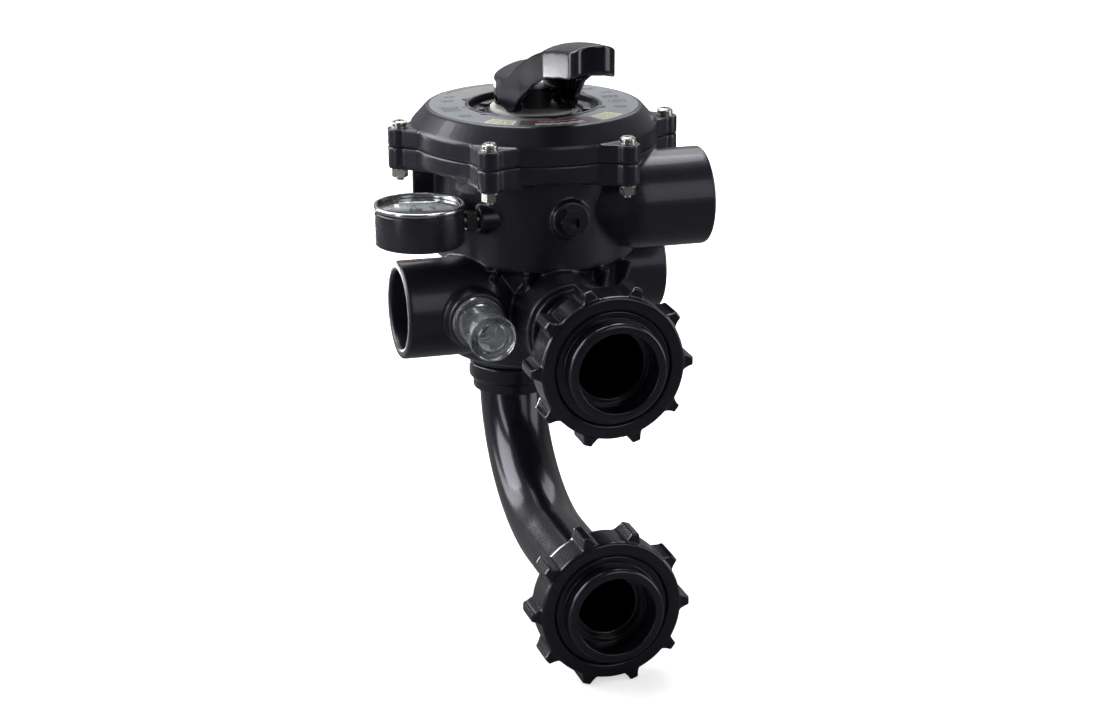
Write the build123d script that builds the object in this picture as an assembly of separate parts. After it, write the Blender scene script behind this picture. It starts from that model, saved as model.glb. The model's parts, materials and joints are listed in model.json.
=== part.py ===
"""Two inch, six position multiport valve for the side of a pool filter.

Every shape is drawn about the rotor axis: X across the ports, -Y towards the filter, Z up, with z = 0 at
the height of the upper union. Writing a node moves it by VALVE_Y along Y, so that the origin of the part
is the centre of the upper union's mouth. Millimetres and degrees throughout.
"""

from build123d import *
from math import cos, radians, sin
import os

# ---- Driving dimensions -------------------------------------------------------------------------------

VALVE_Y = 224.0  # union mouth to rotor axis
UNION_DROP = 190.5  # upper to lower union, 7 1/2 inch

# Covered casing
CASE_R = 80.0  # upper cylinder of the body
CAVITY_R = 72.0
LOWER_R = 72.0  # lower cylinder of the body, round the four chambers
CHAMBER_R = 64.0
FLANGE_R = 97.0
PARTING_Z = 125.0  # where the cover meets the body
FLANGE_Z = 110.0
LUG_FOOT_Z = 107.0
STEP_Z = 36.0  # upper cylinder ends, lower cylinder begins
BODY_FOOT_Z = -44.0
WALL = 8.0
SEAT_Z = 56.0  # top of the ported seat plate

# Cover and its fasteners
LABEL_Z = 153.0
LUG_TOP_Z = 139.0
LABEL_R = 82.0
RECESS_R = 50.5
RIM_R = 53.0
RECESS_Z = 146.0
PLATFORM_R, PLATFORM_Z = 36.0, 149.0
BOLT_R = 106.5
BOLT_COUNT = 6
BOLT_TURN = -4.0
LUG_R = 9.5
SCREW_R = 3.0
SCREW_HOLE_R = 3.3
POINTER_ANGLES = (30, 90, 150, 180, 210, 270, 330)

# Pipe sockets
SOCKET_R = 30.3
SOCKET_DEPTH = 38.0
PORT_R = 38.3
PASSAGE_R = 26.0
DOME_X = 58.0  # where a port starts to taper into the body
DUCT_KNEE_X = 62.0  # where its passage turns towards the rotor axis
PUMP_PORT = (121.0, -53.0, 84.0)
RETURN_PORT = (113.0, 38.0, 6.0)
WASTE_PORT = (-121.0, -41.0, 6.0)

# Unions, measured inwards from the mouth
NUT_FRONT, NUT_BACK = 12.3, 48.4
NUT_R = 54.5
NUT_THREAD_R = 43.5
NUT_LUGS = 10
NUT_LUG_R = 62.0
END_BARREL_R = 37.6
END_THREAD_R = 43.2
END_LENGTH = 25.5
END_SOCKET_DEPTH = 22.0
NECK_R = 35.2  # neck inside the nut
NECK_FLANGE_R = 42.8
NECK_ROOT_R = 28.2
NECK_COLLAR = (106.3, 112.5)
NECK_END = 138.0
NECK_BORE_R = 24.0

# Rotor, its stem and the handle
STEM_R = 14.0
STEM_TOP_Z = 166.5
ROTOR_R = 69.0
GASKET_T = 2.4
ROTOR_T = 10.0
PIN_Z = 159.6
PIN_R = 4.0
WASHER_T = 2.5
NOSE_REACH = 18.0  # from the pin to the cam nose, so the rotor lifts 18 mm per radian of handle
NOSE_R = 8.0
HUB_R = 31.0
HANDLE_REACH = 168.0
HANDLE_HALF = 17.5
RUN = 0.1  # running clearance on radius

# Spring
SPRING_R, WIRE_R, SPRING_TURNS = 20.0, 2.2, 6
SPRING_FOOT_Z, SPRING_HEAD_Z = 76.0, 125.5
STEM_BOSS_R, STEM_BOSS_Z = 24.0, 128.0

# Elbow to the lower union
OUTLET_Y = 68.0
PIPE_R, PIPE_BORE_R = 27.0, 22.5
OUTLET_R = 34.0
OUTLET_FOOT_Z = -77.0
BEND_TOP_Z = -84.0
BEND_REACH = 130.0
COLLAR_FOOT_Z = -100.0
COLLAR_R = 35.3
CONE_END = 78.0  # from the union's mouth to where the neck reaches pipe size
SPIGOT_R = 30.0

# Sight glass, gauge and plug
GLASS_X, GLASS_R = -70.0, 17.0
GLASS_BOSS_Y, GLASS_END_Y = -90.0, -135.0
GAUGE_AT = (-107.0, -57.0)
GAUGE_R = 35.0
GAUGE_FOOT_Z, GAUGE_TOP_Z = 62.5, 94.0
LENS_R, DIAL_R = 31.6, 30.2
GAUGE_PORT_Z = 78.0
TAP_R = 6.6
PLUG_X = 6.0
PLUG_Z = 79.0
PLUG_BOSS_Y = -85.0

# ---- Helpers ------------------------------------------------------------------------------------------

UNION_TOP = Location((0, -VALVE_Y, 0)) * Rot(90, 0, 0)  # local +Z leaves the mouth towards the filter
UNION_LOW = Location((0, -VALVE_Y, -UNION_DROP)) * Rot(90, 0, 0)
TO_RIGHT = Rot(0, 90, 0)
TO_LEFT = Rot(0, -90, 0)
TO_FRONT = Rot(90, 0, 0)


def lathe(points, rounds=()):
    """Revolves an (r, z) outline about Z. rounds holds (r, z, radius) for the corners that are rounded."""
    face = make_face(Polyline(*points, close=True))
    for r, z, radius in rounds:
        corner = face.vertices().sort_by_distance((r, z, 0))[0]
        face = fillet(corner, radius)
    return revolve(Plane.XZ * face, Axis.Z)


def rod(radius, low, high):
    return Pos(0, 0, low) * Cylinder(radius, high - low, align=(Align.CENTER, Align.CENTER, Align.MIN))


def ring(outer, inner, low, high):
    return rod(outer, low, high) - rod(inner, low - 1, high + 1)


def around(shape, angles):
    return [Rot(0, 0, a) * shape for a in angles]


def join(shapes):
    whole = shapes[0]
    for shape in shapes[1:]:
        whole = whole + shape
    return whole


def bolt_angles():
    return [BOLT_TURN + 360 / BOLT_COUNT * i for i in range(BOLT_COUNT)]


def at_bolts(shape):
    return around(Pos(BOLT_R, 0, 0) * shape, bolt_angles())


def o_ring(major, minor, z):
    return Pos(0, 0, z) * Torus(major, minor)


def lug(low, high):
    """One screw lug with a web that runs tangent into the rim."""
    web = make_face(
        Polyline((BOLT_R, LUG_R), (FLANGE_R - 14, 30), (FLANGE_R - 14, -30), (BOLT_R, -LUG_R), close=True)
    )
    plan = web + Pos(BOLT_R, 0) * Circle(LUG_R)
    return Pos(0, 0, low) * extrude(plan, high - low)


nodes = {}


def part(name, *solids):
    nodes[name] = list(solids)


# ---- Body ---------------------------------------------------------------------------------------------


def port_shell(end):
    """Outside of a horizontal port: a tube with a rounded rim that ends in a dome inside the body."""
    x, y, z = end
    side = 1 if x > 0 else -1
    reach = abs(x) - DOME_X
    shell = lathe(
        [(0, -50), (12, -50), (PORT_R, 0), (PORT_R, reach), (0, reach)],
        [(PORT_R, 0, 40), (PORT_R, reach, 1.5)],
    )
    return Pos(side * DOME_X, y, z) * (TO_RIGHT if side > 0 else TO_LEFT) * shell


def duct(start, end, radius):
    """Straight round passage between two points."""
    run = Vector(*end) - Vector(*start)
    return Plane(origin=start, z_dir=run) * rod(radius, 0, run.length)


def port_bore(end):
    """Slip socket with a chamfered mouth, then a narrower passage that turns in towards the rotor axis."""
    x, y, z = end
    side = 1 if x > 0 else -1
    depth = abs(x) - DUCT_KNEE_X
    bore = lathe(
        [
            (0, 1),
            (SOCKET_R + 2, 1),
            (SOCKET_R, -1.5),
            (SOCKET_R, -SOCKET_DEPTH),
            (PASSAGE_R, -SOCKET_DEPTH - 1.5),
            (PASSAGE_R, -depth),
            (0, -depth),
        ]
    )
    knee = (side * DUCT_KNEE_X, y, z)
    inward = (side * 44, 0.45 * y, z)
    turn = Pos(*knee) * Sphere(PASSAGE_R) + duct(knee, inward, PASSAGE_R - 2)
    return Pos(x, y, z) * (TO_RIGHT if side > 0 else TO_LEFT) * bore + turn


def gusset(angle):
    """Upright web between the step of the body and the lower cylinder."""
    plan = make_face(
        Polyline((LOWER_R - 4, STEP_Z), (LOWER_R + 15, STEP_Z), (LOWER_R + 2, -8), (LOWER_R - 4, -8), close=True)
    )
    return Rot(0, 0, angle) * extrude(Plane.XZ * plan, 2, both=True)


def body_outside():
    shell = lathe(
        [
            (0, BODY_FOOT_Z),
            (LOWER_R, BODY_FOOT_Z),
            (LOWER_R, STEP_Z),
            (CASE_R, STEP_Z),
            (CASE_R, FLANGE_Z),
            (FLANGE_R, FLANGE_Z),
            (FLANGE_R, PARTING_Z),
            (0, PARTING_Z),
        ],
        [
            (LOWER_R, BODY_FOOT_Z, 8),
            (LOWER_R, STEP_Z, 3),
            (CASE_R, STEP_Z, 4),
            (CASE_R, FLANGE_Z, 4),
            (FLANGE_R, FLANGE_Z, 3),
        ],
    )
    shell += port_shell(PUMP_PORT)
    shell += port_shell(RETURN_PORT)
    shell += port_shell(WASTE_PORT)
    outlet = lathe(
        [(0, OUTLET_FOOT_Z), (OUTLET_R, OUTLET_FOOT_Z), (OUTLET_R, 0), (0, 0)],
        [(OUTLET_R, OUTLET_FOOT_Z, 1)],
    )
    shell += Pos(0, OUTLET_Y, 0) * (outlet + Sphere(OUTLET_R))
    neck_boss = lathe(
        [(0, 50), (37.5, 50), (37.5, VALVE_Y - NECK_COLLAR[1]), (0, VALVE_Y - NECK_COLLAR[1])],
        [(37.5, VALVE_Y - NECK_COLLAR[1], 1.5)],
    )
    shell += TO_FRONT * neck_boss
    shell += join(around(lug(LUG_FOOT_Z, PARTING_Z), bolt_angles()))
    glass_boss = lathe(
        [(0, 50), (23, 50), (23, -GLASS_BOSS_Y), (0, -GLASS_BOSS_Y)],
        [(23, -GLASS_BOSS_Y, 1.5)],
    )
    shell += Pos(GLASS_X, 0, WASTE_PORT[2]) * TO_FRONT * glass_boss
    plug_boss = lathe([(0, 60), (15, 60), (15, -PLUG_BOSS_Y), (0, -PLUG_BOSS_Y)], [(15, -PLUG_BOSS_Y, 1.5)])
    shell += Pos(PLUG_X, 0, PLUG_Z) * TO_FRONT * plug_boss
    shell += Pos(0, GAUGE_AT[1], GAUGE_PORT_Z) * TO_LEFT * rod(10, 40, 61)
    shell += Pos(-84, 6, 96) * Box(28, 14, 24)
    for angle in (214, 232, 250, 296, 316):
        shell += gusset(angle)
    return shell


def chamber_walls():
    """Upright walls that part the space under the seat into front, right, rear and left chambers."""
    wall = Pos(CHAMBER_R / 2, 0, 6) * Box(CHAMBER_R + 2, 6, SEAT_Z - WALL - BODY_FOOT_Z - WALL + 2)
    return join(around(wall, (62, 122, 242, 302)))


def seat_windows():
    spokes = join([Rot(0, 0, 2 + 60 * i) * Rectangle(2 * CASE_R, 8) for i in range(3)])
    windows = Circle(60) - Circle(19) - spokes
    return Pos(0, 0, SEAT_Z - WALL - 1) * extrude(windows, WALL + 2)


def valve_body():
    body = body_outside()
    body -= rod(CAVITY_R, SEAT_Z, PARTING_Z + 1)
    chambers = rod(CHAMBER_R, BODY_FOOT_Z + WALL, SEAT_Z - WALL) - chamber_walls()
    body -= chambers
    body -= seat_windows()
    body -= port_bore(PUMP_PORT)
    body -= port_bore(RETURN_PORT)
    body -= port_bore(WASTE_PORT)
    neck_socket = VALVE_Y - NECK_END
    body -= TO_FRONT * rod(NECK_ROOT_R + 0.05, neck_socket - 0.2, VALVE_Y)
    body -= TO_FRONT * rod(NECK_BORE_R, 40, VALVE_Y)
    body -= Pos(0, OUTLET_Y, 0) * rod(25, OUTLET_FOOT_Z - 1, 8)
    body -= Pos(0, OUTLET_Y, 0) * rod(SPIGOT_R + 0.05, OUTLET_FOOT_Z - 1, OUTLET_FOOT_Z + 16.2)
    body -= Pos(GLASS_X, 0, WASTE_PORT[2]) * TO_FRONT * rod(15, 45, 100)
    body -= Pos(GLASS_X, 0, WASTE_PORT[2]) * TO_FRONT * ring(18.9, 16.3, -GLASS_BOSS_Y - 2, -GLASS_BOSS_Y)
    body -= Pos(PLUG_X, 0, PLUG_Z) * TO_FRONT * rod(TAP_R, 60, 100)
    body -= Pos(0, GAUGE_AT[1], GAUGE_PORT_Z) * TO_LEFT * rod(TAP_R, 30, 80)
    body -= join(at_bolts(rod(SCREW_HOLE_R, LUG_FOOT_Z - 1, PARTING_Z + 1)))
    return body


# ---- Cover --------------------------------------------------------------------------------------------


def pointer(angle, grow=0.0):
    """Small wedge on the rim of the recess that marks one handle position."""
    plan = make_face(
        Polyline((RIM_R - 2, 3.2 + grow), (RIM_R + 1, 3.2 + grow), (RIM_R + 5 + grow, 0), (RIM_R + 1, -3.2 - grow),
                 (RIM_R - 2, -3.2 - grow), close=True)
    )
    return Rot(0, 0, angle) * Pos(0, 0, LABEL_Z - 1) * extrude(plan, 2)


def cover():
    top = LABEL_Z - 0.6
    shell = lathe(
        [
            (STEM_R + RUN, STEM_BOSS_Z),
            (STEM_BOSS_R, STEM_BOSS_Z),
            (STEM_BOSS_R, RECESS_Z - 7),
            (66, RECESS_Z - 7),
            (66, PARTING_Z - 8),
            (CAVITY_R - 0.3, PARTING_Z - 8),
            (CAVITY_R - 0.3, PARTING_Z),
            (FLANGE_R, PARTING_Z),
            (FLANGE_R, LUG_TOP_Z),
            (LABEL_R + 2.5, top + 0.6),
            (LABEL_R + 0.3, top + 0.6),
            (LABEL_R + 0.3, top),
            (RIM_R, top),
            (RIM_R, LABEL_Z + 1),
            (RECESS_R, LABEL_Z + 1),
            (RECESS_R, RECESS_Z),
            (PLATFORM_R, RECESS_Z),
            (PLATFORM_R, PLATFORM_Z),
            (STEM_R + RUN, PLATFORM_Z),
        ],
        [
            (FLANGE_R, LUG_TOP_Z, 5),
            (LABEL_R + 2.5, top + 0.6, 1.8),
            (RECESS_R, RECESS_Z, 2),
            (RECESS_R, LABEL_Z + 1, 0.8),
            (PLATFORM_R, PLATFORM_Z, 1),
            (66, RECESS_Z - 7, 6),
        ],
    )
    shell += join(around(lug(PARTING_Z, LUG_TOP_Z), bolt_angles()))
    shell += join([pointer(a) for a in POINTER_ANGLES])
    detent = extrude(Circle(46) - Circle(38.5), 4) - join(
        [Rot(0, 0, a) * Pos(42, 0, 2) * Box(12, 11, 5) for a in POINTER_ANGLES]
    )
    shell += Pos(0, 0, RECESS_Z) * detent
    shell -= Pos(0, 0, 0) * ring(CAVITY_R + 1, 69.1, PARTING_Z - 5.6, PARTING_Z - 2.4)
    shell -= join(at_bolts(rod(SCREW_HOLE_R, PARTING_Z - 1, LUG_TOP_Z + 1)))
    return shell


def label_plate():
    plate = ring(LABEL_R, RIM_R + 0.3, LABEL_Z - 0.6, LABEL_Z)
    return plate - join([pointer(a, 0.25) for a in POINTER_ANGLES])


def cover_screw():
    head = lathe(
        [(0, LUG_TOP_Z + 1), (6.2, LUG_TOP_Z + 1), (6.2, LUG_TOP_Z + 4.2), (4.2, LUG_TOP_Z + 5.6), (0, LUG_TOP_Z + 5.6)],
        [(6.2, LUG_TOP_Z + 4.2, 1.2)],
    )
    screw = head + rod(SCREW_R, LUG_FOOT_Z - 9.5, LUG_TOP_Z + 2)
    cross = Pos(0, 0, LUG_TOP_Z + 5) * (Box(6.5, 1.4, 3) + Box(1.4, 6.5, 3))
    return screw - cross


def cover_nut():
    hexagon = Pos(0, 0, LUG_FOOT_Z - 7) * extrude(RegularPolygon(6.4, 6), 6)
    return hexagon - rod(SCREW_R + 0.05, LUG_FOOT_Z - 8, LUG_FOOT_Z)


# ---- Unions -------------------------------------------------------------------------------------------


def union_nut():
    shell = lathe(
        [
            (NUT_THREAD_R, -NUT_FRONT),
            (NUT_R, -NUT_FRONT),
            (NUT_R, -NUT_BACK),
            (NECK_R + 0.8, -NUT_BACK),
            (NECK_R + 0.8, -NUT_BACK + 11),
            (NUT_THREAD_R, -NUT_BACK + 12),
        ],
        [
            (NUT_R, -NUT_BACK, 9.5),
            (NUT_R, -NUT_FRONT, 2.5),
            (NUT_THREAD_R, -NUT_FRONT, 2.0),
        ],
    )
    grip = lathe(
        [
            (NUT_R - 3, -NUT_FRONT - 2),
            (NUT_LUG_R, -NUT_FRONT - 2),
            (NUT_LUG_R, -NUT_FRONT - 29),
            (NUT_R - 3, -NUT_FRONT - 33),
        ],
        [(NUT_LUG_R, -NUT_FRONT - 2, 2), (NUT_LUG_R, -NUT_FRONT - 29, 3)],
    )
    plan = make_face(
        Polyline((NUT_R - 4, 8), (NUT_LUG_R - 3, 3.6), (NUT_LUG_R + 1, 3.2), (NUT_LUG_R + 1, -3.2),
                 (NUT_LUG_R - 3, -3.6), (NUT_R - 4, -8), close=True)
    )
    blade = Pos(0, 0, -NUT_BACK) * extrude(plan, NUT_BACK)
    teeth = grip & join(around(blade, [360 / NUT_LUGS * i for i in range(NUT_LUGS)]))
    return shell + teeth


def union_end():
    shell = lathe(
        [
            (SOCKET_R, 0),
            (END_BARREL_R, 0),
            (END_BARREL_R, -NUT_FRONT - 1.2),
            (END_THREAD_R, -NUT_FRONT - 1.2),
            (END_THREAD_R, -END_LENGTH),
            (PASSAGE_R, -END_LENGTH),
            (PASSAGE_R, -END_SOCKET_DEPTH),
            (SOCKET_R, -END_SOCKET_DEPTH),
        ],
        [(END_BARREL_R, 0, 1.6), (END_THREAD_R, -NUT_FRONT - 1.2, 1)],
    )
    return shell - ring(36.2, 31.8, -END_LENGTH - 1, -END_LENGTH + 2.6)


def neck_head(bore):
    """Flanged end that the nut draws against the union end."""
    return [
        (bore, -END_LENGTH - 0.1),
        (NECK_FLANGE_R, -END_LENGTH - 0.1),
        (NECK_FLANGE_R, -END_LENGTH - 10),
        (NECK_R, -END_LENGTH - 11),
        (NECK_R, -NUT_BACK - 2),
    ]


def upper_neck():
    near, far = NECK_COLLAR
    outline = neck_head(PASSAGE_R) + [
        (NECK_ROOT_R, -near),
        (35, -near),
        (35, -far + 0.1),
        (NECK_ROOT_R, -far + 0.1),
        (NECK_ROOT_R, -NECK_END),
        (NECK_BORE_R, -NECK_END),
    ]
    return lathe(outline, [(35, -near, 1.5)])


# ---- Elbow --------------------------------------------------------------------------------------------


def elbow_tube(radius):
    """Round tube along the elbow's path, from the union's neck up to the body's outlet."""
    bend_y = OUTLET_Y - BEND_REACH
    start = Vector(0, -VALVE_Y + CONE_END, -UNION_DROP)
    level = Line(start, (0, bend_y, -UNION_DROP))
    bend = Plane.YZ * EllipticalCenterArc(
        (bend_y, BEND_TOP_Z), BEND_REACH, UNION_DROP + BEND_TOP_Z, start_angle=-90, arc_size=90
    )
    rise = Line((0, OUTLET_Y, BEND_TOP_Z), (0, OUTLET_Y, OUTLET_FOOT_Z + 4))
    path = Wire([*level.edges(), *bend.edges(), *rise.edges()])
    return sweep(Plane(origin=start, z_dir=(0, 1, 0)) * Circle(radius), path)


def elbow_pipe():
    head = neck_head(PIPE_BORE_R) + [(PIPE_R, -CONE_END), (PIPE_BORE_R, -CONE_END)]
    return UNION_LOW * lathe(head) + (elbow_tube(PIPE_R) - elbow_tube(PIPE_BORE_R))


def pipe_collar():
    """Stepped sleeve that plugs into the body's outlet and holds the top of the elbow."""
    shoulder, top = OUTLET_FOOT_Z - 0.1, OUTLET_FOOT_Z + 16
    sleeve = lathe(
        [
            (0, COLLAR_FOOT_Z),
            (32, COLLAR_FOOT_Z),
            (32, COLLAR_FOOT_Z + 8),
            (COLLAR_R, COLLAR_FOOT_Z + 11),
            (COLLAR_R, shoulder),
            (SPIGOT_R, shoulder),
            (SPIGOT_R, top),
            (0, top),
        ],
        [(COLLAR_R, COLLAR_FOOT_Z + 11, 1.5), (32, COLLAR_FOOT_Z, 1.5), (COLLAR_R, shoulder, 1)],
    )
    sleeve = Pos(0, OUTLET_Y, 0) * (sleeve - rod(25, OUTLET_FOOT_Z, top + 1))
    return sleeve - elbow_tube(PIPE_R + 0.1) - Pos(0, OUTLET_Y, 0) * rod(PIPE_R + 0.1, -90, OUTLET_FOOT_Z + 4.1)


# ---- Rotor, spring and seat ---------------------------------------------------------------------------


def sector(radius, inner, start, sweep_angle, low, high):
    """Wedge of a disc between two radii."""
    far = 2 * radius
    points = [(0, 0)]
    points += [(far * cos(radians(start + sweep_angle * i / 4)), far * sin(radians(start + sweep_angle * i / 4)))
               for i in range(5)]
    wedge = make_face(Polyline(*points, close=True)) & Circle(radius)
    return Pos(0, 0, low) * extrude(wedge - Circle(inner), high - low)


def seat_gasket():
    spokes = join([Rot(0, 0, 2 + 60 * i) * Rectangle(2 * 66, 6) for i in range(3)])
    plan = (Circle(ROTOR_R) - Circle(62)) + spokes + Circle(17)
    return Pos(0, 0, SEAT_Z) * extrude(plan, GASKET_T)


def rotor():
    foot = SEAT_Z + GASKET_T
    top = foot + ROTOR_T
    disc = rod(ROTOR_R, foot, top)
    disc += sector(64, 26, 8, 108, top - 1, top + 14)
    disc += rod(22, top - 1, SPRING_FOOT_Z - 2.1)
    disc -= sector(58, 31, 14, 96, foot - 1, top + 9)
    disc -= sector(58, 22, 248, 48, foot - 1, top + 1)
    stem = lathe([(0, top), (STEM_R, top), (STEM_R, STEM_TOP_Z), (0, STEM_TOP_Z)], [(STEM_R, STEM_TOP_Z, 1.5)])
    for z in (134.0, 142.0):
        stem -= ring(STEM_R + 1, STEM_R - 2.2, z - 1.6, z + 1.6)
    stem -= Pos(0, 0, PIN_Z) * TO_RIGHT * rod(PIN_R + 0.05, -20, 20)
    return disc + stem


def rotor_spring():
    height = SPRING_HEAD_Z - SPRING_FOOT_Z - 2 * WIRE_R
    coil = Helix(height / SPRING_TURNS, height, SPRING_R)
    section = Plane(origin=coil @ 0, z_dir=coil % 0) * Circle(WIRE_R)
    return Pos(0, 0, SPRING_FOOT_Z + WIRE_R) * sweep(section, coil, is_frenet=True)


# ---- Handle -------------------------------------------------------------------------------------------


def handle_plan():
    """Hub circle that tapers into a paddle with a round end, reaching to -Y, and the short tail to +Y."""
    reach = HANDLE_REACH - HANDLE_HALF
    side = [(HUB_R - 1, -8), (24, -45), (19, -92), (HANDLE_HALF, -reach)]
    arm = make_face(Polyline(*side, *[(-x, y) for x, y in reversed(side)], close=True))
    tail = Pos(0, 36) * Rectangle(9.5, 18)
    return arm + Circle(HUB_R) + Pos(0, -reach) * Circle(HANDLE_HALF) + tail


def side_profile(upper, lower):
    """Closed YZ outline between two smooth curves, each from the tail to the tip."""
    top = Spline(*upper)
    foot = Polyline(*lower)
    ends = [Line(upper[0], lower[0]), Line(upper[-1], lower[-1])]
    return Plane.YZ * make_face([*top.edges(), *foot.edges(), *ends[0].edges(), *ends[1].edges()])


def handle():
    reach = [45, 30, 12, -14, -42, -70, -94, -130, -(HANDLE_REACH + 2)]
    crest = [165, 179, 186, 188, 198, 210.5, 218, 225, 230]
    foot = [(45, 152), (33.5, 152), (30, 154), (-25, 154), (-31, 157), (-42, 170), (-70, 188), (-94, 197),
            (-130, 204), (-HANDLE_REACH - 2, 210)]
    outside = side_profile(list(zip(reach, crest)), foot)
    solid = extrude(handle_plan(), 300) & extrude(outside, 60, both=True)

    roof = [(y, z - 5.5) for y, z in zip(reach[3:], crest[3:])]
    floor = [(reach[3], 150), (-HANDLE_REACH - 2, 150)]
    solid -= extrude(offset(handle_plan(), -4), 300) & extrude(side_profile(roof, floor), 60, both=True)
    tunnel = make_face(Polyline((-15, 150), (15, 150), (15, 168), (9, 174), (-9, 174), (-15, 168), close=True))
    passage = Pos(0, 33, 0) * extrude(Plane.XZ * tunnel, 90)
    solid -= passage
    for side in (-1, 1):
        cheek = Pos(side * 21, 0, 0)
        solid += cheek * Pos(0, -NOSE_REACH, PLATFORM_Z + WASHER_T + RUN + NOSE_R) * TO_RIGHT * rod(NOSE_R, -5.9, 5)
    return solid - Pos(0, 0, PIN_Z) * TO_RIGHT * rod(PIN_R + 0.06, -50, 50)


# ---- Gauge --------------------------------------------------------------------------------------------


def at_gauge(shape):
    return Pos(*GAUGE_AT, 0) * shape


def gauge_case():
    case = lathe(
        [
            (0, GAUGE_FOOT_Z),
            (GAUGE_R - 0.4, GAUGE_FOOT_Z),
            (GAUGE_R - 0.4, GAUGE_TOP_Z - 3.1),
            (LENS_R + 0.2, GAUGE_TOP_Z - 3.1),
            (LENS_R + 0.2, GAUGE_TOP_Z - 5.3),
            (DIAL_R + 0.2, GAUGE_TOP_Z - 5.3),
            (DIAL_R + 0.2, GAUGE_FOOT_Z + 2),
            (0, GAUGE_FOOT_Z + 2),
        ],
        [(GAUGE_R - 0.4, GAUGE_FOOT_Z, 3)],
    )
    return at_gauge(case - Pos(0, 0, GAUGE_PORT_Z) * TO_RIGHT * rod(6.1, 20, 50))


def gauge_bezel():
    inner = LENS_R - 0.8
    return at_gauge(
        lathe(
            [
                (inner, GAUGE_TOP_Z - 3),
                (GAUGE_R, GAUGE_TOP_Z - 3),
                (GAUGE_R, GAUGE_TOP_Z),
                (inner + 1.6, GAUGE_TOP_Z),
                (inner, GAUGE_TOP_Z - 1.6),
            ],
            [(GAUGE_R, GAUGE_TOP_Z, 1.1)],
        )
    )


def gauge_lens():
    return at_gauge(rod(LENS_R, GAUGE_TOP_Z - 5.2, GAUGE_TOP_Z - 3.2))


def gauge_dial():
    return at_gauge(ring(DIAL_R, 2, GAUGE_TOP_Z - 10, GAUGE_TOP_Z - 9.2))


def gauge_needle():
    """Pointer at zero, at the lower left of a dial whose foot is the stem side."""
    blade = make_face(Polyline((-8, 1.6), (-8, -1.6), (0, -1.1), (22, -0.35), (22, 0.35), (0, 1.1), close=True))
    shape = extrude(blade, 0.6) + Cylinder(2.6, 1.6, align=(Align.CENTER, Align.CENTER, Align.MIN))
    shape -= Cylinder(1.05, 10)
    return at_gauge(Pos(0, 0, GAUGE_TOP_Z - 7.4) * Rot(0, 0, -45) * shape)


def gauge_movement():
    frame = Pos(0, 0, 72) * Box(16, 12, 14)
    return at_gauge(frame + rod(1, 78, GAUGE_TOP_Z - 5.5))


def bourdon_tube():
    arc = CenterArc((0, 0, 0), 22, 20, 270)
    section = Plane(origin=arc @ 0, z_dir=arc % 0) * SlotOverall(8, 3.2)
    return at_gauge(Pos(0, 0, 72) * sweep(section, arc))


def gauge_stem():
    """Brass connector: block inside the case, square for the spanner, then the tapered thread."""
    inner = rod(6, 24, 36)
    square = Pos(0, 0, 40) * Box(13, 13, 8)
    thread = rod(TAP_R - 0.05, 43, 62)
    return Pos(*GAUGE_AT, GAUGE_PORT_Z) * TO_RIGHT * ((inner + square + thread) - rod(2.5, 20, 70))


# ---- Small fittings -----------------------------------------------------------------------------------


def sight_glass():
    """Clear cup that screws into the waste port; local +Z leaves the port."""
    seat = -GLASS_BOSS_Y
    end = -GLASS_END_Y
    cup = lathe(
        [
            (11.5, seat - 12),
            (14.9, seat - 12),
            (14.9, seat + 0.1),
            (20, seat + 0.1),
            (20, seat + 5.5),
            (GLASS_R - 0.6, seat + 5.5),
            (GLASS_R - 0.6, end - 6),
            (GLASS_R + 0.9, end - 5),
            (GLASS_R + 0.9, end),
            (13, end),
            (11.5, end - 1.5),
            (0, end - 1.5),
            (0, end - 4.5),
            (11.5, end - 4.5),
        ],
        [(GLASS_R + 0.9, end, 1.2)],
    )
    return Pos(GLASS_X, 0, WASTE_PORT[2]) * TO_FRONT * cup


def sight_glass_o_ring():
    return Pos(GLASS_X, 0, WASTE_PORT[2]) * TO_FRONT * o_ring(17.6, 1.0, -GLASS_BOSS_Y - 0.95)


def port_plug():
    head = Pos(0, 0, -PLUG_BOSS_Y + 1.6) * extrude(RegularPolygon(11, 6), 7)
    plug = head + rod(TAP_R - 0.05, -PLUG_BOSS_Y - 14, -PLUG_BOSS_Y + 2)
    plug -= Pos(0, 0, -PLUG_BOSS_Y + 7) * Box(7, 7, 6)
    return Pos(PLUG_X, 0, PLUG_Z) * TO_FRONT * plug


def plug_washer():
    return Pos(PLUG_X, 0, PLUG_Z) * TO_FRONT * ring(10, TAP_R + 0.1, -PLUG_BOSS_Y, -PLUG_BOSS_Y + 1.6)


# ---- Assembly -----------------------------------------------------------------------------------------

part("valve_body", valve_body())
part("cover", cover())
part("cover_o_ring", o_ring(70.5, 1.35, PARTING_Z - 4))
part("label_plate", label_plate())
part("cover_screws", *at_bolts(cover_screw()))
part(
    "cover_washers",
    *at_bolts(ring(6.9, 3.2, LUG_TOP_Z, LUG_TOP_Z + 1)),
    *at_bolts(ring(6.9, 3.2, LUG_FOOT_Z - 1, LUG_FOOT_Z)),
)
part("cover_nuts", *at_bolts(cover_nut()))

part("upper_neck", UNION_TOP * upper_neck())
for level, frame in (("upper", UNION_TOP), ("lower", UNION_LOW)):
    part(level + "_union_nut", frame * union_nut())
    part(level + "_union_end", frame * union_end())
    part(level + "_union_o_ring", frame * o_ring(34, 1.3, -END_LENGTH + 1.25))
part("elbow_pipe", elbow_pipe())
part("pipe_collar", pipe_collar())

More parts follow.
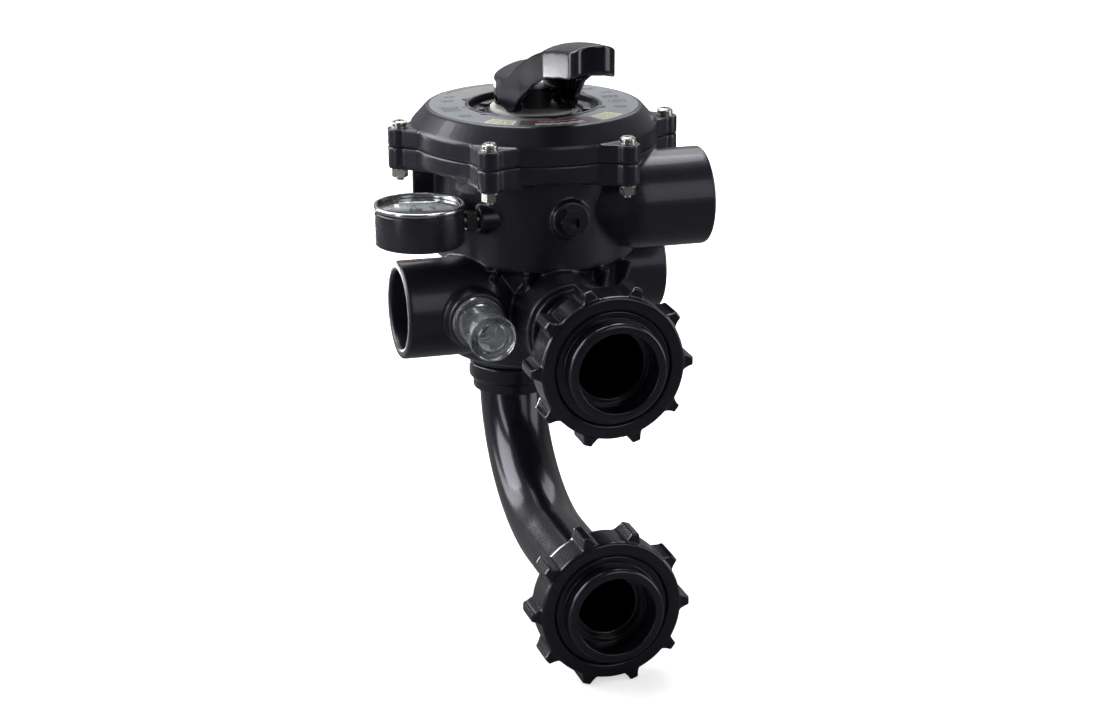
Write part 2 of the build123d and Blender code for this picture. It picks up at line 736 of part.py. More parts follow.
part("seat_gasket", seat_gasket())
part("rotor", rotor())
part("rotor_spring", rotor_spring())
part("spring_washer", ring(24.5, STEM_R + 0.3, SPRING_FOOT_Z - 2, SPRING_FOOT_Z - 0.05))
part("slip_washer", ring(24.5, STEM_R + 0.3, SPRING_HEAD_Z + 0.05, STEM_BOSS_Z - 0.1))
part("stem_o_rings", o_ring(STEM_R - 1.05, 1.05, 134), o_ring(STEM_R - 1.05, 1.05, 142))
part("thrust_washer", ring(34, STEM_R + 0.3, PLATFORM_Z + 0.05, PLATFORM_Z + WASHER_T))
part("handle", handle())
part("handle_pin", Pos(0, 0, PIN_Z) * TO_RIGHT * rod(PIN_R, -27, 27))

part("gauge_case", gauge_case())
part("gauge_bezel", gauge_bezel())
part("gauge_lens", gauge_lens())
part("gauge_dial", gauge_dial())
part("gauge_needle", gauge_needle())
part("gauge_movement", gauge_movement())
part("bourdon_tube", bourdon_tube())
part("gauge_stem", gauge_stem())

part("sight_glass", sight_glass())
part("sight_glass_o_ring", sight_glass_o_ring())
part("port_plug", port_plug())
part("plug_washer", plug_washer())

os.makedirs("parts", exist_ok=True)
for name, solids in nodes.items():
    placed = [Pos(0, VALVE_Y, 0) * s for solid in solids for s in solid.solids()]
    export_step(Compound(children=placed) if len(placed) > 1 else placed[0], f"parts/{name}.step")
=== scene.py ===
"""Looks of the multiport valve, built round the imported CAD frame.

Sizes are millimetres in the valve's own coordinates: the rotor axis is x = y = 0, -Y points to the filter
and z = 0 is the height of the upper union. TO_ROW turns them into the row frame, in metres.
"""

import json
import math
import random

import bmesh
import bpy
from mathutils import Matrix, Vector
from mathutils.bvhtree import BVHTree


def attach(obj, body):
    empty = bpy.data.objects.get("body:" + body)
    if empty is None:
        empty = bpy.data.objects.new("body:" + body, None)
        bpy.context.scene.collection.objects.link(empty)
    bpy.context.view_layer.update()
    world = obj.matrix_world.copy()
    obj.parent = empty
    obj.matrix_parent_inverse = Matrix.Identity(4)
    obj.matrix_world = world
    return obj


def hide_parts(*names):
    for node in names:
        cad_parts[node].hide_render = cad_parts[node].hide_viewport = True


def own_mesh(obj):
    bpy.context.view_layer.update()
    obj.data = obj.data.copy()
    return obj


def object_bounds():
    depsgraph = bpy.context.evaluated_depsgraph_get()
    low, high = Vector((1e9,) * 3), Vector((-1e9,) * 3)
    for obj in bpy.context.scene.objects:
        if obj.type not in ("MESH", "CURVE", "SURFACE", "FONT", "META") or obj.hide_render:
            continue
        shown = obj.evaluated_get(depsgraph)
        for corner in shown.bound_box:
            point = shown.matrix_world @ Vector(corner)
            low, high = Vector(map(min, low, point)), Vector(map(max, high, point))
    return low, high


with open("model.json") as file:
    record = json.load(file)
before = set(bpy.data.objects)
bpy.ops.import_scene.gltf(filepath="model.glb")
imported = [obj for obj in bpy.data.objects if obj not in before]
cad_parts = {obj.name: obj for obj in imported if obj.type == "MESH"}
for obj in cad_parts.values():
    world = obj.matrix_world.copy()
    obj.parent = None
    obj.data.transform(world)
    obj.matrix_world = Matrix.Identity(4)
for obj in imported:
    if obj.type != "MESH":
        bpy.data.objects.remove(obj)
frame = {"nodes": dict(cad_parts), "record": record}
cad_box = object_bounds()

MM = 0.001
AXIS_Y = 224.0  # from the upper union's mouth, the row's origin, back to the rotor axis
TO_ROW = Matrix.Translation((0, AXIS_Y * MM, 0)) @ Matrix.Scale(MM, 4)
BODIES = frame["record"]["behaviour"]["bodies"]
BODY_OF = {node: body for body, members in BODIES.items() for node in members}
SLOT_OF = {entry["node"]: entry["material_slot"] for entry in frame["record"]["subparts"]}


def place(x, y, z):
    """A point in valve millimetres, moved to the row frame."""
    return TO_ROW @ Vector((x, y, z))


# ---- Materials ----------------------------------------------------------------------------------


class Look:
    """A node material built from short calls. Textures run in millimetres of the piece's own space."""

    def __init__(self, name, **settings):
        self.material = bpy.data.materials.new(name)
        self.material.use_nodes = True
        self.tree = self.material.node_tree
        self.shader = self.tree.nodes["Principled BSDF"]
        self.set(self.shader, settings)
        self.space = self.add("ShaderNodeMapping", Scale=(1000, 1000, 1000))
        self.join(self.add("ShaderNodeTexCoord").outputs["Object"], self.space.inputs["Vector"])
        self.surface = None

    def join(self, source, target):
        self.tree.links.new(source, target)

    def feed(self, value, socket):
        """Joins another node's output to an input, or sets the input to a plain value."""
        if isinstance(value, bpy.types.NodeSocket):
            self.join(value, socket)
        else:
            socket.default_value = value

    def set(self, node, values):
        for key, value in values.items():
            self.feed(value, node.inputs[key])
        return node

    def add(self, kind, props=None, **values):
        """A new node with its properties from props and its inputs from the other arguments."""
        node = self.tree.nodes.new(kind)
        for key, value in (props or {}).items():
            setattr(node, key, value)
        return self.set(node, values)

    def noise(self, scale, detail=3.0, stretch=(1, 1, 1)):
        """Noise whose features are about 1 / scale millimetres across."""
        spread = self.add("ShaderNodeMapping", Scale=stretch, Vector=self.space.outputs["Vector"])
        point = spread.outputs["Vector"]
        return self.add("ShaderNodeTexNoise", Scale=scale, Detail=detail, Vector=point).outputs["Fac"]

    def span(self, value, low, high, start=0.0, end=1.0):
        """Maps start..end to low..high, and holds the ends."""
        node = self.add("ShaderNodeMapRange")
        self.set(node, {"Value": value, "From Min": start, "From Max": end})
        self.set(node, {"To Min": low, "To Max": high})
        return node.outputs["Result"]

    def math(self, operation, a, b=0.0):
        node = self.add("ShaderNodeMath", {"operation": operation})
        self.feed(a, node.inputs[0])
        self.feed(b, node.inputs[1])
        return node.outputs["Value"]

    def blend(self, factor, first, second):
        """A mix of two colours, each a tuple or another node's output."""
        node = self.add("ShaderNodeMix", {"data_type": "RGBA"})
        self.feed(factor, node.inputs[0])
        for index, colour in ((6, first), (7, second)):  # a mix node's colour inputs
            self.feed((*colour, 1) if isinstance(colour, tuple) else colour, node.inputs[index])
        return node.outputs[2]

    def soften(self, radius):
        """Rounds the piece's edges in shading only."""
        bevel = self.add("ShaderNodeBevel", {"samples": 4}, Radius=radius * MM)
        self.surface = bevel.outputs["Normal"]

    def bump(self, height, distance, strength=1.0):
        """Adds relief of up to that many millimetres over what the surface has so far."""
        node = self.add("ShaderNodeBump", Height=height, Distance=distance * MM, Strength=strength)
        if self.surface is not None:
            self.join(self.surface, node.inputs["Normal"])
        self.surface = node.outputs["Normal"]

    def finish(self, **values):
        """Sets the shader's inputs and returns the material."""
        self.set(self.shader, values)
        if self.surface is not None:
            self.join(self.surface, self.shader.inputs["Normal"])
        return self.material


def black_plastic(name, dark, light, gloss, edge=0.5, grain=0.012):
    """Moulded plastic: cloudy tone, drifting gloss, orange peel and fine scuffs.

    With edge, sharp edges are rounded in shading by that radius. Without it, the mesh is taken to be a
    fine, rounded one, and its edges are worn brighter.
    """
    look = Look(name)
    if edge:
        look.soften(edge)
    cloud = look.noise(0.03, 4)
    scuff = look.span(look.noise(0.5, 6, (1, 1, 0.08)), 0, 1, 0.6, 0.75)
    tone = look.blend(cloud, dark, light)
    if not edge:
        convex = look.add("ShaderNodeNewGeometry").outputs["Pointiness"]
        tone = look.blend(look.span(convex, 0, 0.35, 0.515, 0.56), tone, tuple(4 * c + 0.01 for c in light))
    drift = look.span(look.noise(0.06, 5), gloss, gloss + 0.13)
    rough = look.math("ADD", drift, look.math("MULTIPLY", scuff, 0.07))
    look.bump(look.noise(0.9, 2), grain)
    look.bump(look.noise(0.04, 2), 0.06)
    return look.finish(**{
        "Base Color": tone,
        "Roughness": rough,
        "Specular IOR Level": 0.5,
        "Specular Tint": (0.86, 0.84, 1.0, 1),
        "Coat Weight": 0.2,
        "Coat Roughness": 0.08,
    })


def metal(name, colour, rough, edge=0.25, brushed=(1, 1, 1)):
    """Turned or brushed metal with stretched grain and faint stains."""
    look = Look(name, Metallic=1.0)
    look.soften(edge)
    stain = look.noise(0.25, 5)
    grain = look.noise(3.0, 2, brushed)
    look.bump(grain, 0.006)
    return look.finish(**{
        "Base Color": look.blend(stain, colour, tuple(0.72 * c for c in colour)),
        "Roughness": look.span(look.math("ADD", stain, grain), rough, rough + 0.16, 0.6, 1.4),
    })


def rubber(name):
    """Matt rubber with dust on it."""
    look = Look(name)
    dust = look.span(look.noise(0.4, 4), 0, 0.5, 0.45, 0.8)
    look.bump(look.noise(2.5, 3), 0.04)
    return look.finish(**{
        "Base Color": look.blend(dust, (0.013, 0.013, 0.014), (0.05, 0.05, 0.05)),
        "Roughness": look.span(dust, 0.55, 0.8),
    })


def label_foil():
    """Printed foil: grey with a faint circular grain and a creamier side away from the filter."""
    look = Look("label_foil", Metallic=0.2)
    split = look.add("ShaderNodeSeparateXYZ", Vector=look.space.outputs["Vector"])
    across = look.math("SUBTRACT", split.outputs["Y"], AXIS_Y)
    squares = [look.math("POWER", side, 2.0) for side in (split.outputs["X"], across)]
    radius = look.math("SQRT", look.math("ADD", *squares))
    rings = look.math("SINE", look.math("MULTIPLY", radius, 9.0))
    ragged = look.math("ADD", across, look.span(look.noise(0.05, 3), -22, 22))
    warm = look.span(ragged, 0, 0.55, 10, 80)
    tone = look.blend(warm, (0.17, 0.183, 0.205), (0.26, 0.25, 0.205))
    tone = look.blend(look.span(look.noise(0.12, 5), 0, 0.25), tone, (0.125, 0.135, 0.155))
    look.bump(look.math("ADD", rings, look.noise(2.0, 2)), 0.01, 0.4)
    rough = look.span(look.noise(0.2, 4), 0.5, 0.65)
    return look.finish(**{"Base Color": tone, "Roughness": rough})


def ink(name, colour, rough=0.45):
    """Printed ink, faded in small patches."""
    look = Look(name)
    patchy = look.noise(1.2, 4)
    look.bump(patchy, 0.01)
    faded = tuple(0.75 * c + 0.06 for c in colour)
    return look.finish(**{
        "Base Color": look.blend(look.span(patchy, 0, 0.3), colour, faded),
        "Roughness": look.span(patchy, rough, rough + 0.15),
    })


def satin_plastic(name, colour, rough):
    """Coloured plastic with soft clouds in its tone and a slightly uneven surface."""
    look = Look(name)
    look.soften(0.3)
    cloud = look.noise(0.08, 4)
    look.bump(look.noise(1.4, 2), 0.02)
    return look.finish(**{
        "Base Color": look.blend(cloud, colour, tuple(0.82 * c for c in colour)),
        "Roughness": look.span(look.noise(0.3, 4), rough, rough + 0.15),
    })


def clear_plastic(name, rough, clear, tint=(0.93, 0.96, 0.97)):
    """Clear moulding with faint flow ripples and a little haze, which lets the lamps through."""
    look = Look(name, IOR=1.49)
    look.bump(look.noise(0.1, 1), 0.015)
    material = look.finish(**{
        "Base Color": look.blend(look.noise(0.1, 2), tint, tuple(0.96 * c for c in tint)),
        "Transmission Weight": clear,
        "Roughness": look.span(look.noise(0.25, 4), rough, rough + 0.03, 0.4, 0.8),
    })
    open_glass = look.add("ShaderNodeBsdfTransparent", Color=(*tint, 1))
    choice = look.add("ShaderNodeMixShader")
    look.join(look.add("ShaderNodeLightPath").outputs["Is Shadow Ray"], choice.inputs[0])
    look.join(look.shader.outputs["BSDF"], choice.inputs[1])
    look.join(open_glass.outputs["BSDF"], choice.inputs[2])
    look.join(choice.outputs["Shader"], look.tree.nodes["Material Output"].inputs["Surface"])
    return material


BLACK = ((0.007, 0.006, 0.0095), (0.011, 0.0095, 0.0145))  # dark and light tones
DEEP_BLACK = ((0.0035, 0.003, 0.005), (0.007, 0.006, 0.0095))
LOOKS = {
    "body_plastic": black_plastic("body_plastic", *BLACK, 0.15),
    "rotor_plastic": black_plastic("rotor_plastic", (0.02, 0.02, 0.022), (0.035, 0.035, 0.04), 0.38),
    "gauge_black": black_plastic("gauge_black", (0.009, 0.009, 0.012), (0.016, 0.016, 0.02), 0.2,
                                 edge=0.4, grain=0.01),
    "white_plastic": satin_plastic("white_plastic", (0.72, 0.71, 0.66), 0.4),
    "seal_rubber": rubber("seal_rubber"),
    "label_foil": label_foil(),
    "stainless": metal("stainless", (0.62, 0.60, 0.57), 0.18, 0.25, (1, 1, 0.15)),
    "bezel_chrome": metal("bezel_chrome", (0.72, 0.72, 0.74), 0.1, 0.3, (1, 1, 0.1)),
    "brass": metal("brass", (0.62, 0.45, 0.2), 0.25, 0.3, (0.2, 1, 1)),
    "dial_white": satin_plastic("dial_white", (0.56, 0.56, 0.55), 0.45),
    "clear_plastic": clear_plastic("clear_plastic", 0.02, 0.98),
}
SATIN = black_plastic("moulded_satin", *BLACK, 0.27, edge=0)
GLOSS = black_plastic("moulded_gloss", *DEEP_BLACK, 0.13, edge=0)
PLATED = metal("plated_brass", (0.13, 0.125, 0.12), 0.22, 0.3)
HAZY = clear_plastic("hazy_plastic", 0.03, 0.97)
INK_BLACK = ink("ink_black", (0.012, 0.012, 0.014))
INK_WHITE = ink("ink_white", (0.72, 0.72, 0.74))
INK_MAROON = ink("ink_maroon", (0.13, 0.012, 0.02))
INK_CREAM = ink("ink_cream", (0.62, 0.6, 0.42))
INK_OLIVE = ink("ink_olive", (0.16, 0.17, 0.12))


# ---- Mesh tools ---------------------------------------------------------------------------------


def in_scene(name, data):
    """A new object in the scene."""
    thing = bpy.data.objects.new(name, data)
    bpy.context.scene.collection.objects.link(thing)
    return thing


def into_mesh(name, bm):
    """Turns a bmesh into a new mesh and frees it."""
    mesh = bpy.data.meshes.new(name)
    bm.to_mesh(mesh)
    bm.free()
    return mesh


def piece(name, mesh, material, body, nodes=()):
    """Shows a finished mesh on a body, standing for the named CAD nodes."""
    thing = in_scene(name, mesh)
    mesh.materials.clear()
    mesh.materials.append(material)
    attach(thing, body)
    if nodes:
        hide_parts(*nodes)
    return thing


def cad_mesh(node):
    """A welded copy of a CAD node's mesh."""
    mesh = frame["nodes"][node].data.copy()
    if "custom_normal" in mesh.attributes:
        mesh.attributes.remove(mesh.attributes["custom_normal"])
    bm = bmesh.new()
    bm.from_mesh(mesh)
    bmesh.ops.remove_doubles(bm, verts=bm.verts, dist=2e-6)
    bmesh.ops.recalc_face_normals(bm, faces=bm.faces)
    bm.to_mesh(mesh)
    bm.free()
    return mesh


def crease(mesh, angle):
    """Smooth shading, with sharp edges kept above an angle in degrees."""
    mesh.shade_smooth()
    mesh.set_sharp_from_angle(angle=math.radians(angle))
    return mesh


def evaluated(thing):
    """Applies an object's modifiers and returns the new mesh."""
    graph = bpy.context.evaluated_depsgraph_get()
    graph.update()
    return bpy.data.meshes.new_from_object(thing.evaluated_get(graph), depsgraph=graph)


FINE = 1.0


def moulded(node, voxel, rounds, material, shape=None):
    """Rebuilds a CAD node as one soft-edged moulding: a remesh, optional shaping, rounds of smoothing."""
    work = in_scene("work", cad_mesh(node))
    remesh = work.modifiers.new("remesh", "REMESH")
    remesh.mode = "VOXEL"
    remesh.voxel_size = voxel * FINE * MM
    work.data = evaluated(work)
    work.modifiers.clear()
    if shape:
        for vertex in work.data.vertices:
            vertex.co = shape(vertex.co)
    smooth = work.modifiers.new("smooth", "SMOOTH")
    smooth.factor = 0.5
    smooth.iterations = rounds
    mesh = evaluated(work)
    mesh.shade_smooth()
    bpy.data.objects.remove(work)
    return piece(node + "_moulding", mesh, material, BODY_OF[node], [node])


def prism(bm, outline, low, high):
    """Adds an upright prism with a counter-clockwise (x, y) outline, in valve millimetres."""
    foot = [bm.verts.new((x, y, low)) for x, y in outline]
    top = [bm.verts.new((x, y, high)) for x, y in outline]
    bm.faces.new(foot[::-1])
    bm.faces.new(top)
    for i in range(len(outline)):
        j = (i + 1) % len(outline)
        bm.faces.new((foot[i], foot[j], top[j], top[i]))


def bar(bm, x, y, width, height, low, high, turn=0.0):
    """A small flat printed bar centred on (x, y)."""
    c, s = math.cos(turn), math.sin(turn)
    u, v = width / 2, height / 2
    corners = [(-u, -v), (u, -v), (u, v), (-u, v)]
    prism(bm, [(x + u * c - v * s, y + u * s + v * c) for u, v in corners], low, high)


def arc_band(bm, inner, outer, start, end, low, high, steps=None):
    """A flat band between two radii and two angles in degrees."""
    steps = steps or max(2, int(abs(end - start) / 3))
    angles = [math.radians(start + (end - start) * i / steps) for i in range(steps + 1)]
    rim = [(outer * math.cos(a), outer * math.sin(a)) for a in angles]
    rim += [(inner * math.cos(a), inner * math.sin(a)) for a in reversed(angles)]
    prism(bm, rim, low, high)


def row_mesh(name, bm, move):
    """Moves a bmesh in valve millimetres to its place in the row frame, and turns it into a mesh."""
    bmesh.ops.transform(bm, matrix=TO_ROW @ move, verts=bm.verts)
    return into_mesh(name, bm)


def printed(name, bm, material, move=Matrix.Identity(4)):
    """Turns a bmesh into a piece of print on the valve, which stands for no CAD node."""
    piece(name, row_mesh(name, bm, move), material, "valve")


def rounded_outline(points, steps=5):
    """(r, z) or (r, z, radius) corners to a closed outline with each radius drawn as an arc."""
    outline = []
    for i, corner in enumerate(points):
        here = Vector(corner[:2])
        radius = corner[2] if len(corner) > 2 else 0
        if not radius:
            outline.append(here)
            continue
        back = (Vector(points[i - 1][:2]) - here).normalized()
        on = (Vector(points[(i + 1) % len(points)][:2]) - here).normalized()
        half = back.angle(on) / 2
        centre = here + (back + on).normalized() * (radius / math.sin(half))
        start = here + back * (radius / math.tan(half)) - centre
        end = here + on * (radius / math.tan(half)) - centre
        sweep = math.atan2(start.cross(end), start.dot(end))
        for k in range(steps + 1):
            outline.append(centre + Matrix.Rotation(sweep * k / steps, 2) @ start)
    return outline


def lathe(points, segments=128):
    """Revolves a closed rounded (r, z) outline about Z. Returns a bmesh in valve millimetres."""
    outline = rounded_outline(points)
    bm = bmesh.new()
    rings = []
    for s in range(segments):
        a = 2 * math.pi * s / segments
        rings.append([bm.verts.new((p.x * math.cos(a), p.x * math.sin(a), p.y)) for p in outline])
    for s in range(segments):
        near, far = rings[s], rings[(s + 1) % segments]
        for i in range(len(outline)):
            j = (i + 1) % len(outline)
            bm.faces.new((near[i], far[i], far[j], near[j]))
    bmesh.ops.remove_doubles(bm, verts=bm.verts, dist=1e-5)
    bmesh.ops.recalc_face_normals(bm, faces=bm.faces)
    return bm


def turned(name, bm, move, material, node):
    """Turns a lathe's bmesh into a piece that stands for a CAD node."""
    mesh = crease(row_mesh(name, bm, move), angle=35)
    piece(name, mesh, material, BODY_OF[node], [node])


# ---- Mouldings ----------------------------------------------------------------------------------

HUB_R, ARM_HALF = 31.0, 17.5  # half widths of the handle
HANDLE_FOOT_Z, HUB_HEIGHT = 157.0, 26.0
ARM_START, ARM_BLEND = 14.0, 26.0  # where the hub begins to turn into the arm, towards the filter
HUB_DROP, ARM_DROP = 12.5, 5.0


def crowned_handle(co):
    """Drops the flanks of the handle so that its back is crowned instead of flat."""
    x, y, z = co.x / MM, co.y / MM - AXIS_Y, co.z / MM
    arm = min(1, max(0, (-y - ARM_START) / ARM_BLEND))
    hub = min(1, max(0, (z - HANDLE_FOOT_Z) / HUB_HEIGHT))
    half = HUB_R + (ARM_HALF - HUB_R) * arm
    lean = min(1, abs(x) / half)
    drop = hub * (1 - arm) * HUB_DROP * lean ** 2 + arm * ARM_DROP * lean ** 2.4
    return Vector((co.x, co.y, (z - drop) * MM))


moulded("valve_body", 1.15, 7, SATIN)
moulded("cover", 0.95, 5, SATIN)
handle = moulded("handle", 0.65, 14, GLOSS, crowned_handle)
for level in ("upper", "lower"):
    moulded(level + "_union_nut", 0.8, 5, GLOSS)
moulded("elbow_pipe", 0.95, 5, GLOSS)
moulded("pipe_collar", 0.8, 3, GLOSS)
moulded("upper_neck", 0.9, 4, GLOSS)


# ---- Pieces that keep their CAD shape -----------------------------------------------------------

MADE_BELOW = (
    "rotor_spring", "sight_glass", "upper_union_end", "lower_union_end",
    "gauge_case", "gauge_bezel", "gauge_lens",
)
for node in BODY_OF:
    if node in MADE_BELOW or frame["nodes"][node].hide_render:
        continue
    slot = SLOT_OF[node]
    look = PLATED if node == "gauge_stem" else LOOKS[slot]  # the photo shows a dark fitting there
    piece(node + "_shown", crease(cad_mesh(node), angle=32), look, BODY_OF[node], [node])

coil = crease(cad_mesh("rotor_spring"), angle=60)
spring = piece("rotor_spring_coil", coil, LOOKS["stainless"], "turning_stack", ["rotor_spring"])
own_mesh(spring)

# ---- Pieces turned on the lathe -----------------------------------------------------------------

FORWARD = Matrix.Rotation(math.radians(90), 4, "X")  # turns an outline's Z axis towards the filter
UNION_DROP = 190.5
MOUTH_R, BARREL_R, THREAD_R = 30.3, 37.6, 43.2
SEAL_R_OUT, SEAL_R_IN, SEAL_DEPTH, WATER_R = 36.2, 31.8, 2.6, 26.0
SOCKET_FLOOR = 3.5
FLANGE_Z, END_Z = -13.5, -25.5  # measured from the union's mouth
for level, drop in (("upper", 0), ("lower", UNION_DROP)):
    end = lathe([
        (MOUTH_R, 0, 0.8),
        (BARREL_R, 0, 3.2),
        (BARREL_R, FLANGE_Z, 0.6),
        (THREAD_R, FLANGE_Z, 1.0),
        (THREAD_R, END_Z, 0.5),
        (SEAL_R_OUT, END_Z),
        (SEAL_R_OUT, END_Z + SEAL_DEPTH),
        (SEAL_R_IN, END_Z + SEAL_DEPTH),
        (SEAL_R_IN, END_Z),
        (WATER_R, END_Z),
        (WATER_R, END_Z + SOCKET_FLOOR, 0.6),
        (MOUTH_R - 0.4, END_Z + SOCKET_FLOOR, 0.6),
    ])
    mouth = Matrix.Translation((0, -AXIS_Y, -drop)) @ FORWARD
    turned(level + "_union_end_turned", end, mouth, GLOSS, level + "_union_end")

GAUGE = Matrix.Translation((-107, -57, 0))  # the gauge's upright axis
CASE_FOOT, CASE_TOP, CASE_R, CASE_WALL = 62.5, 90.9, 34.6, 2.0
CASE_BORE_R = 30.4
LENS_FOOT, LENS_R, LENS_SEAT_R = 88.8, 31.6, 31.8
BEZEL_FOOT, BEZEL_TOP, BEZEL_R, WINDOW_R = 91.0, 94.0, 35.0, 30.8
case = lathe([
    (0, CASE_FOOT),
    (CASE_R, CASE_FOOT, 3.0),
    (CASE_R, CASE_TOP - 2.2, 0.4),
    (CASE_R - 0.5, CASE_TOP - 1.6, 0.4),
    (CASE_R - 0.5, CASE_TOP),
    (LENS_SEAT_R, CASE_TOP),
    (LENS_SEAT_R, LENS_FOOT - 0.1),
    (CASE_BORE_R, LENS_FOOT - 0.1),
    (CASE_BORE_R, CASE_FOOT + CASE_WALL),
    (0, CASE_FOOT + CASE_WALL),
])
turned("gauge_case_turned", case, GAUGE, LOOKS["gauge_black"], "gauge_case")
bezel = lathe([
    (WINDOW_R, BEZEL_FOOT),
    (BEZEL_R, BEZEL_FOOT, 0.4),
    (BEZEL_R, BEZEL_TOP, 1.3),
    (WINDOW_R + 1.6, BEZEL_TOP, 0.6),
    (WINDOW_R, BEZEL_TOP - 1.6, 0.4),
])
turned("gauge_bezel_turned", bezel, GAUGE, LOOKS["bezel_chrome"], "gauge_bezel")
lens = lathe([(0, LENS_FOOT), (LENS_R, LENS_FOOT), (LENS_R, LENS_FOOT + 2, 0.5), (0, LENS_FOOT + 2)])
turned("gauge_lens_turned", lens, GAUGE, LOOKS["clear_plastic"], "gauge_lens")

GLASS_AT = Matrix.Translation((-70, 0, 6)) @ FORWARD  # the glass's level axis
GLASS_SEAT, GLASS_FRONT = 90.0, 135.0  # measured along the glass, from the plane y = 0
GLASS_R, RIM_R, FOOT_R = 16.4, 17.9, 20.0
TAIL_R, BORE_R, TAIL = 14.9, 11.5, 12.0
cup = lathe([
    (BORE_R, GLASS_SEAT - TAIL),
    (TAIL_R, GLASS_SEAT - TAIL),
    (TAIL_R, GLASS_SEAT + 0.1),
    (FOOT_R, GLASS_SEAT + 0.1),
    (FOOT_R, GLASS_SEAT + 5.5, 1.4),
    (GLASS_R, GLASS_SEAT + 5.5, 1.6),
    (GLASS_R, GLASS_FRONT - 6.4, 1.0),
    (RIM_R, GLASS_FRONT - 5, 0.8),
    (RIM_R, GLASS_FRONT, 1.5),
    (13.2, GLASS_FRONT, 0.9),
    (BORE_R, GLASS_FRONT - 1.5, 0.9),
    (0, GLASS_FRONT - 1.5),
    (0, GLASS_FRONT - 4.5),
    (BORE_R, GLASS_FRONT - 4.5, 2.0),
])
turned("sight_glass_cup", cup, GLASS_AT, HAZY, "sight_glass")

# ---- Label print --------------------------------------------------------------------------------

LABEL_Z = 153.0  # the label's face
BELOW = 0.1  # print starts this far inside the surface it lies on
PER_RADIAN = 57.3  # degrees
rng = random.Random(7)  # all the random draws come from here


def paper(height):
    """Foot and top of a print layer on the label."""
    return LABEL_Z - BELOW, LABEL_Z + height


def text_block(bm, x, y, rows, width, layer, size=1.25, pitch=2.5):
    """Rows of bars of up to 5 mm, centred on (x, y), that stand for lines of small print."""
    for row in range(rows):
        off = pitch * ((rows - 1) / 2 - row)
        left = -0.5 * width * rng.uniform(0.72, 1.0)
        right = -left
        while left < right - 1:
            run = min(right - left, rng.uniform(2.2, 5.0))
            middle = left + run / 2
            bar(bm, x + middle, y + off, run, size, *layer)
            left += run + 0.7


def text_arc(bm, radius, centre, half, layer, size=1.3):
    """Bars of 3 to 7 mm along an arc, centred on an angle in degrees."""
    angle, last = centre - half, centre + half
    gap = 45 / radius  # 0.8 mm along the arc
    while angle < last:
        run = rng.uniform(3, 7) / radius * PER_RADIAN
        arc_band(bm, radius - size / 2, radius + size / 2, angle, min(angle + run, last), *layer)
        angle += run + gap


def ring_mark(bm, x, y, inner, outer, layer):
    """A plain ring, made of two half bands."""
    for start in (0, 180):
        half = bmesh.new()
        arc_band(half, inner, outer, start, start + 180, *layer)
        bmesh.ops.translate(half, vec=(x, y, 0), verts=half.verts)
        copy_into(bm, half)


def copy_into(bm, other):
    """Adds another bmesh to bm and frees it."""
    mesh = into_mesh("part", other)
    bm.from_mesh(mesh)
    bpy.data.meshes.remove(mesh)


def wave(bm, radius, centre, half, layer, swing=0.9, size=0.9, turns=5):
    """A thin wavy line along an arc."""
    steps = 16 * turns
    rim, inner = [], []
    for i in range(steps + 1):
        angle = math.radians(centre - half + 2 * half * i / steps)
        here = radius + swing * math.sin(2 * math.pi * turns * i / steps)
        for line, r in ((rim, here + size / 2), (inner, here - size / 2)):
            line.append((r * math.cos(angle), r * math.sin(angle)))
    prism(bm, rim + inner[::-1], *layer)


FILTER, FAR = 270, 90  # directions on the label: towards the filter, and away from it
PANEL_R, PANEL_HALF = (62.3, 80.2), 24.5  # the black panel's radii, and half its angle
RED_R, RED_HALF = (63.2, 70.4), 22.5  # the red panel that lies on it
BOX_R, BOX_AT, BOX_HALF = (63.8, 78.6), 36, 8.6  # a cream box; BOX_AT is from FILTER to its middle
RING_AT = (65.8, -8.7)
first, second, third = paper(0.05), paper(0.09), paper(0.13)
black = bmesh.new()
for side in (1, -1):
    text_block(black, side * 62.3, -29.7, 3, 12, first)
text_block(black, 65.8, 8, 4, 16, first, pitch=2.3)
text_block(black, 68, 24, 2, 12, first)
text_block(black, -67.5, -3, 6, 17, first, size=1.1, pitch=2.9)
text_block(black, -62.5, 26.2, 3, 12, first)
text_block(black, -57.2, 41, 2, 12, first)
text_block(black, 57.2, 41, 3, 12, first)
text_block(black, 0, 65.5, 3, 9, first, size=0.8, pitch=1.6)
ring_mark(black, *RING_AT, 6.6, 7.4, first)
bar(black, *RING_AT, 8, 3, *first)
text_arc(black, 78.4, FAR, 46, first, 1.6)
text_arc(black, 55.8, FAR, 22, first, 1.0)
text_arc(black, 56.2, FILTER, 26, first, 0.9)
arc_band(black, *PANEL_R, FILTER - PANEL_HALF, FILTER + PANEL_HALF, *first)
printed("label_print_black", black, INK_BLACK)

cream = bmesh.new()
for side in (1, -1):
    middle = FILTER + side * BOX_AT
    arc_band(cream, *BOX_R, middle - BOX_HALF, middle + BOX_HALF, *first)
printed("label_boxes", cream, INK_CREAM)

olive = bmesh.new()
for side in (1, -1):
    for row in range(5):
        text_arc(olive, 66 + 2.6 * row, FILTER + side * BOX_AT, BOX_HALF - 1.2, second, 1.5)
printed("label_box_print", olive, INK_OLIVE)

panel = bmesh.new()
arc_band(panel, *RED_R, FILTER - RED_HALF, FILTER + RED_HALF, *second)
printed("label_panel_red", panel, INK_MAROON)

white = bmesh.new()
for row in range(3):
    wave(white, 72.9 + 2.0 * row, FILTER, 15, third)
text_arc(white, 66.5, FILTER, 13, third, 1.1)
printed("label_print_white", white, INK_WHITE)

# ---- Print on the handle ------------------------------------------------------------------------

INK_ABOVE, INK_BELOW = Vector((0, 0, 0.06 * MM)), Vector((0, 0, -0.4 * MM))
SKY_Z = 400.0  # above the whole valve
DOWN = Vector((0, 0, -1))


